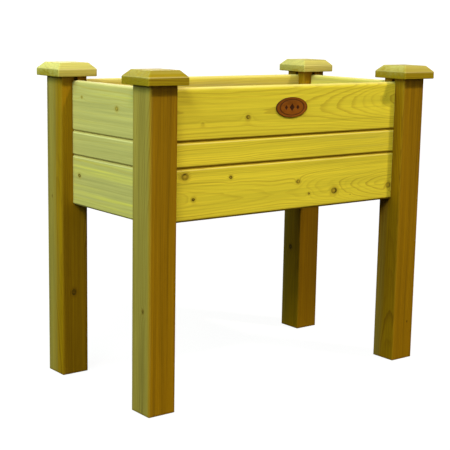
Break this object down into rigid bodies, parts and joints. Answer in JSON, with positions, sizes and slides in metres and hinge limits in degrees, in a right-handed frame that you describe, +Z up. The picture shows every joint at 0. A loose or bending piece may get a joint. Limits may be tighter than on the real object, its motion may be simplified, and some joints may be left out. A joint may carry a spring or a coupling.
{
  "type": "raised planter on legs",
  "caption": "Waist-high rectangular cedar planter box, its boards let into square posts with bevelled caps, open at the top over a slatted floor.",
  "frame": {"origin": "on the ground, under the middle of the planter", "axes": "+Z up, +X along the planter's length to the right as seen from the front, +Y towards its rear; the badge is on the front, which faces -Y"},
  "size_m": [0.9266, 0.5126, 0.813],
  "materials": {
    "post_cedar": "planed, clear outdoor finish, darker",
    "board_cedar": "planed, clear outdoor finish, light",
    "cap_cedar": "planed, clear outdoor finish",
    "floor_cedar": "rough sawn, bare",
    "badge_wood": "stained dark, satin",
    "dowel_beech": "bare, turned",
    "screw_steel": "zinc plated, passivated"
  },
  "bodies": {
    "root": {"badge": "badge_wood", "board_front_bottom": "board_cedar", "board_front_middle": "board_cedar", "board_front_top": "board_cedar", "board_left_bottom": "board_cedar", "board_left_middle": "board_cedar", "board_left_top": "board_cedar", "board_rear_bottom": "board_cedar", "board_rear_middle": "board_cedar", "board_rear_top": "board_cedar", "board_right_bottom": "board_cedar", "board_right_middle": "board_cedar", "board_right_top": "board_cedar", "cap_front_left": "cap_cedar", "cap_front_right": "cap_cedar", "cap_rear_left": "cap_cedar", "cap_rear_right": "cap_cedar", "cleat_front": "floor_cedar", "cleat_left": "floor_cedar", "cleat_rear": "floor_cedar", "cleat_right": "floor_cedar", "dowel_front_left": "dowel_beech", "dowel_front_right": "dowel_beech", "dowel_rear_left": "dowel_beech", "dowel_rear_right": "dowel_beech", "post_front_left": "post_cedar", "post_front_right": "post_cedar", "post_rear_left": "post_cedar", "post_rear_right": "post_cedar", "screw_front_1": "screw_steel", "screw_front_2": "screw_steel", "screw_front_3": "screw_steel", "screw_front_4": "screw_steel", "screw_left_1": "screw_steel", "screw_left_2": "screw_steel", "screw_rear_1": "screw_steel", "screw_rear_2": "screw_steel", "screw_rear_3": "screw_steel", "screw_rear_4": "screw_steel", "screw_right_1": "screw_steel", "screw_right_2": "screw_steel", "slat_1": "floor_cedar", "slat_2": "floor_cedar", "slat_3": "floor_cedar", "slat_4": "floor_cedar", "slat_5": "floor_cedar", "slat_6": "floor_cedar"}
  },
  "joints": []
}
